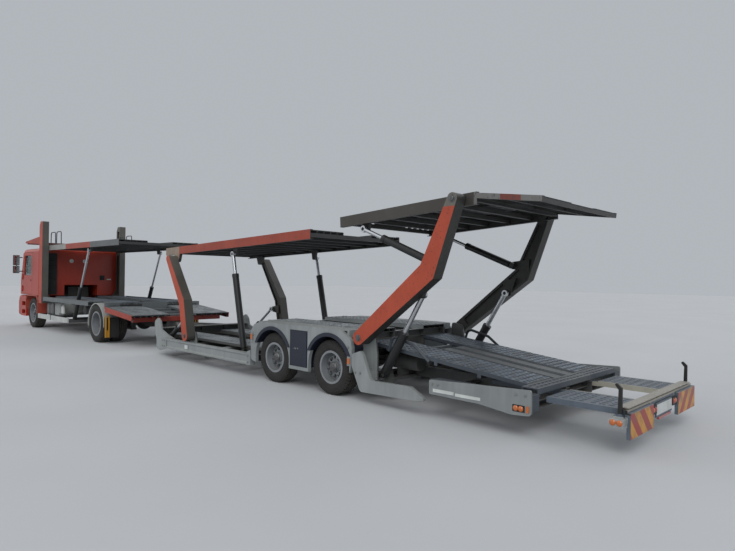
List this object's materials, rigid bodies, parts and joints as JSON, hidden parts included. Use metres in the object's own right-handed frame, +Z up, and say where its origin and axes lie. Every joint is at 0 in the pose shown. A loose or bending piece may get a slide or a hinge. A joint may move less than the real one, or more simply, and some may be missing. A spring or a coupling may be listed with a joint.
{
  "type": "articulated car transporter truck",
  "caption": "Articulated car transporter: low-cab truck with a lifting upper deck, hinged to a rear part with swinging decks on bent arms, perforated wheel tracks and a slide-out tail.",
  "frame": {"origin": "on the ground, at the middle of the parked length and width", "axes": "+X from the bumper to the tail, +Y to the vehicle's right, +Z up"},
  "size_m": [19.506, 2.96, 3.28],
  "materials": {
    "black_plastic": "black moulded plastic",
    "cab_red": "orange-red cab enamel",
    "cab_trim": "dark grey moulded trim and cloth",
    "chassis_dark": "dark chassis paint",
    "chrome_rod": "hard-chromed rod",
    "clear_glass": "clear laminated glass",
    "cylinder_black": "black painted cylinder barrel",
    "deck_grey": "weathered grey painted steel",
    "deck_orange": "faded orange-red paint over galvanised tracks",
    "engine_iron": "cast iron",
    "frame_grey": "dirty light-grey paint",
    "locker_blue": "dark blue enamel",
    "orange_paint": "faded orange-red paint",
    "rim_silver": "silver-grey painted pressed steel, dusty",
    "side_gear_grey": "grey painted tanks and guards",
    "track_steel": "blue-grey galvanised perforated steel",
    "tyre_rubber": "matt black road tyre rubber"
  },
  "bodies": {
    "truck": {"truck_frame": "chassis_dark", "engine_block": "engine_iron", "truck_axles": "chassis_dark", "cab_shell": "cab_red", "windscreen": "clear_glass", "cab_interior": "cab_trim", "front_bumper": "cab_red", "mirrors": "black_plastic", "mudguards": "frame_grey", "side_gear": "side_gear_grey", "truck_lower_deck": "frame_grey", "masts": "orange_paint", "grille_and_lamps": "black_plastic", "air_intake": "black_plastic"},
    "door_left": {"door_left": "cab_red", "door_glass_left": "clear_glass"},
    "door_right": {"door_right": "cab_red", "door_glass_right": "clear_glass"},
    "knuckle_left": {"knuckle_left": "chassis_dark"},
    "knuckle_right": {"knuckle_right": "chassis_dark"},
    "truck_upper_deck": {"truck_upper_deck": "deck_grey"},
    "truck_deck_barrels": {"truck_deck_barrels": "cylinder_black"},
    "truck_deck_rods": {"truck_deck_rods": "chrome_rod"},
    "rear_part": {"trailer_frame": "frame_grey", "wheel_housing": "frame_grey", "lockers": "locker_blue", "trailer_axles": "chassis_dark", "rear_lower_deck": "frame_grey", "brace_barrels": "cylinder_black", "rear_mudguards": "locker_blue"},
    "front_posts": {"front_posts": "orange_paint"},
    "front_upper_deck": {"front_upper_deck": "deck_orange"},
    "front_deck_barrels": {"front_deck_barrels": "cylinder_black"},
    "front_deck_rods": {"front_deck_rods": "chrome_rod"},
    "brace_rods": {"brace_rods": "chrome_rod"},
    "rear_arms": {"rear_arms": "orange_paint"},
    "rear_upper_deck": {"rear_upper_deck": "deck_grey"},
    "arm_barrels": {"arm_barrels": "cylinder_black"},
    "arm_rods": {"arm_rods": "chrome_rod"},
    "tilt_barrels": {"tilt_barrels": "cylinder_black"},
    "tilt_rods": {"tilt_rods": "chrome_rod"},
    "tail": {"tail": "track_steel"},
    "front_wheel_left": {"front_tyre_left": "tyre_rubber", "front_rim_left": "rim_silver"},
    "front_wheel_right": {"front_tyre_right": "tyre_rubber", "front_rim_right": "rim_silver"},
    "drive_wheel_left": {"drive_tyre_left": "tyre_rubber", "drive_rim_left": "rim_silver"},
    "drive_wheel_right": {"drive_tyre_right": "tyre_rubber", "drive_rim_right": "rim_silver"},
    "trailer_fore_wheel_left": {"trailer_fore_tyre_left": "tyre_rubber", "trailer_fore_rim_left": "rim_silver"},
    "trailer_fore_wheel_right": {"trailer_fore_tyre_right": "tyre_rubber", "trailer_fore_rim_right": "rim_silver"},
    "trailer_aft_wheel_left": {"trailer_aft_tyre_left": "tyre_rubber", "trailer_aft_rim_left": "rim_silver"},
    "trailer_aft_wheel_right": {"trailer_aft_tyre_right": "tyre_rubber", "trailer_aft_rim_right": "rim_silver"}
  },
  "joints": [
    {"name": "front_wheel_left_spin", "type": "hinge", "parent": "knuckle_left", "child": "front_wheel_left", "pos_m": [-8.3, 0, 0.463], "axis": [0, 1, 0], "continuous": true},
    {"name": "front_wheel_right_spin", "type": "hinge", "parent": "knuckle_right", "child": "front_wheel_right", "pos_m": [-8.3, 0, 0.463], "axis": [0, 1, 0], "continuous": true},
    {"name": "drive_wheel_left_spin", "type": "hinge", "parent": "truck", "child": "drive_wheel_left", "pos_m": [-3, 0, 0.463], "axis": [0, 1, 0], "continuous": true},
    {"name": "drive_wheel_right_spin", "type": "hinge", "parent": "truck", "child": "drive_wheel_right", "pos_m": [-3, 0, 0.463], "axis": [0, 1, 0], "continuous": true},
    {"name": "trailer_fore_wheel_left_spin", "type": "hinge", "parent": "rear_part", "child": "trailer_fore_wheel_left", "pos_m": [4.31, 0, 0.394], "axis": [0, 1, 0], "continuous": true},
    {"name": "trailer_fore_wheel_right_spin", "type": "hinge", "parent": "rear_part", "child": "trailer_fore_wheel_right", "pos_m": [4.31, 0, 0.394], "axis": [0, 1, 0], "continuous": true},
    {"name": "trailer_aft_wheel_left_spin", "type": "hinge", "parent": "rear_part", "child": "trailer_aft_wheel_left", "pos_m": [5.65, 0, 0.394], "axis": [0, 1, 0], "continuous": true},
    {"name": "trailer_aft_wheel_right_spin", "type": "hinge", "parent": "rear_part", "child": "trailer_aft_wheel_right", "pos_m": [5.65, 0, 0.394], "axis": [0, 1, 0], "continuous": true},
    {"name": "steer_left", "type": "hinge", "parent": "truck", "child": "knuckle_left", "pos_m": [-8.3, -0.86, 0.463], "axis": [0, 0, 1], "range_deg": [-32, 32]},
    {"name": "steer_right", "type": "hinge", "parent": "truck", "child": "knuckle_right", "pos_m": [-8.3, 0.86, 0.463], "axis": [0, 0, 1], "range_deg": [-32, 32]},
    {"name": "door_left_hinge", "type": "hinge", "parent": "truck", "child": "door_left", "pos_m": [-9.31, -1.2343, 1.37], "axis": [0, 0, -1], "range_deg": [0, 70]},
    {"name": "door_right_hinge", "type": "hinge", "parent": "truck", "child": "door_right", "pos_m": [-9.31, 1.2343, 1.37], "axis": [0, 0, 1], "range_deg": [0, 70]},
    {"name": "truck_deck_lift", "type": "slide", "parent": "truck", "child": "truck_upper_deck", "axis": [0, 0, 1], "range_m": [-0.35, 0.5]},
    {"name": "truck_deck_barrel_swing", "type": "hinge", "parent": "truck", "child": "truck_deck_barrels", "pos_m": [-5.2, 0, 0.42], "axis": [0, 1, 0], "range_deg": [-7, 5]},
    {"name": "truck_deck_rod_slide", "type": "slide", "parent": "truck_deck_barrels", "child": "truck_deck_rods", "axis": [0.4619, 0, 0.8869], "range_m": [-0.33, 0.47]},
    {"name": "trailer_yaw", "type": "hinge", "parent": "truck", "child": "rear_part", "pos_m": [-1.5, 0, 0.51], "axis": [0, 0, 1], "range_deg": [-60, 60]},
    {"name": "front_post_swing", "type": "hinge", "parent": "rear_part", "child": "front_posts", "pos_m": [1.5, 0, 0.515], "axis": [0, 1, 0], "range_deg": [-20, 6]},
    {"name": "front_deck_level", "type": "hinge", "parent": "front_posts", "child": "front_upper_deck", "pos_m": [0.77, 0, 2.03], "axis": [0, 1, 0], "range_deg": [-7, 21]},
    {"name": "front_deck_barrel_swing", "type": "hinge", "parent": "rear_part", "child": "front_deck_barrels", "pos_m": [3.17, 0, 0.39], "axis": [0, 1, 0], "range_deg": [-21, 7]},
    {"name": "front_deck_rod_slide", "type": "slide", "parent": "front_deck_barrels", "child": "front_deck_rods", "axis": [-0.2236, 0, 0.9747], "range_m": [-0.14, 0.05]},
    {"name": "brace_rod_slide", "type": "slide", "parent": "rear_part", "child": "brace_rods", "axis": [0.8051, 0, 0.5932], "range_m": [-0.19, 0.06]},
    {"name": "rear_arm_swing", "type": "hinge", "parent": "rear_part", "child": "rear_arms", "pos_m": [6.26, 0, 0.87], "axis": [0, 1, 0], "range_deg": [0, 30]},
    {"name": "arm_barrel_swing", "type": "hinge", "parent": "rear_part", "child": "arm_barrels", "pos_m": [6.52, 0, 0.38], "axis": [0, 1, 0], "range_deg": [-1, 26]},
    {"name": "arm_rod_slide", "type": "slide", "parent": "arm_barrels", "child": "arm_rods", "axis": [0.5145, 0, 0.8575], "range_m": [-0.29, 0.01]},
    {"name": "rear_deck_tilt", "type": "hinge", "parent": "rear_arms", "child": "rear_upper_deck", "pos_m": [7.78, 0, 2.63], "axis": [0, 1, 0], "range_deg": [-20, 4]},
    {"name": "tilt_barrel_swing", "type": "hinge", "parent": "rear_arms", "child": "tilt_barrels", "pos_m": [7.28, 0, 1.905], "axis": [0, 1, 0], "range_deg": [-27, 6]},
    {"name": "tilt_rod_slide", "type": "slide", "parent": "tilt_barrels", "child": "tilt_rods", "axis": [-0.9298, 0, 0.368], "range_m": [-0.3, 0.06]},
    {"name": "tail_slide", "type": "slide", "parent": "rear_part", "child": "tail", "axis": [-1, 0, 0], "range_m": [0, 0.75]}
  ],
  "couplings": [
    {"joint": "truck_deck_barrel_swing", "follows": "truck_deck_lift", "rad_per_m": -0.1989},
    {"joint": "truck_deck_rod_slide", "follows": "truck_deck_lift", "ratio": 0.89488},
    {"joint": "front_deck_barrel_swing", "follows": "front_post_swing", "ratio": 0.9666},
    {"joint": "front_deck_rod_slide", "follows": "front_post_swing", "m_per_rad": 0.38128},
    {"joint": "brace_rod_slide", "follows": "front_post_swing", "m_per_rad": 0.51304},
    {"joint": "arm_barrel_swing", "follows": "rear_arm_swing", "ratio": 0.8292},
    {"joint": "arm_rod_slide", "follows": "rear_arm_swing", "m_per_rad": -0.51211},
    {"joint": "tilt_barrel_swing", "follows": "rear_deck_tilt", "ratio": 1.2947},
    {"joint": "tilt_rod_slide", "follows": "rear_deck_tilt", "m_per_rad": 0.80824},
    {"joint": "front_deck_level", "follows": "front_post_swing", "ratio": -1},
    {"joint": "steer_right", "follows": "steer_left", "ratio": 1}
  ]
}
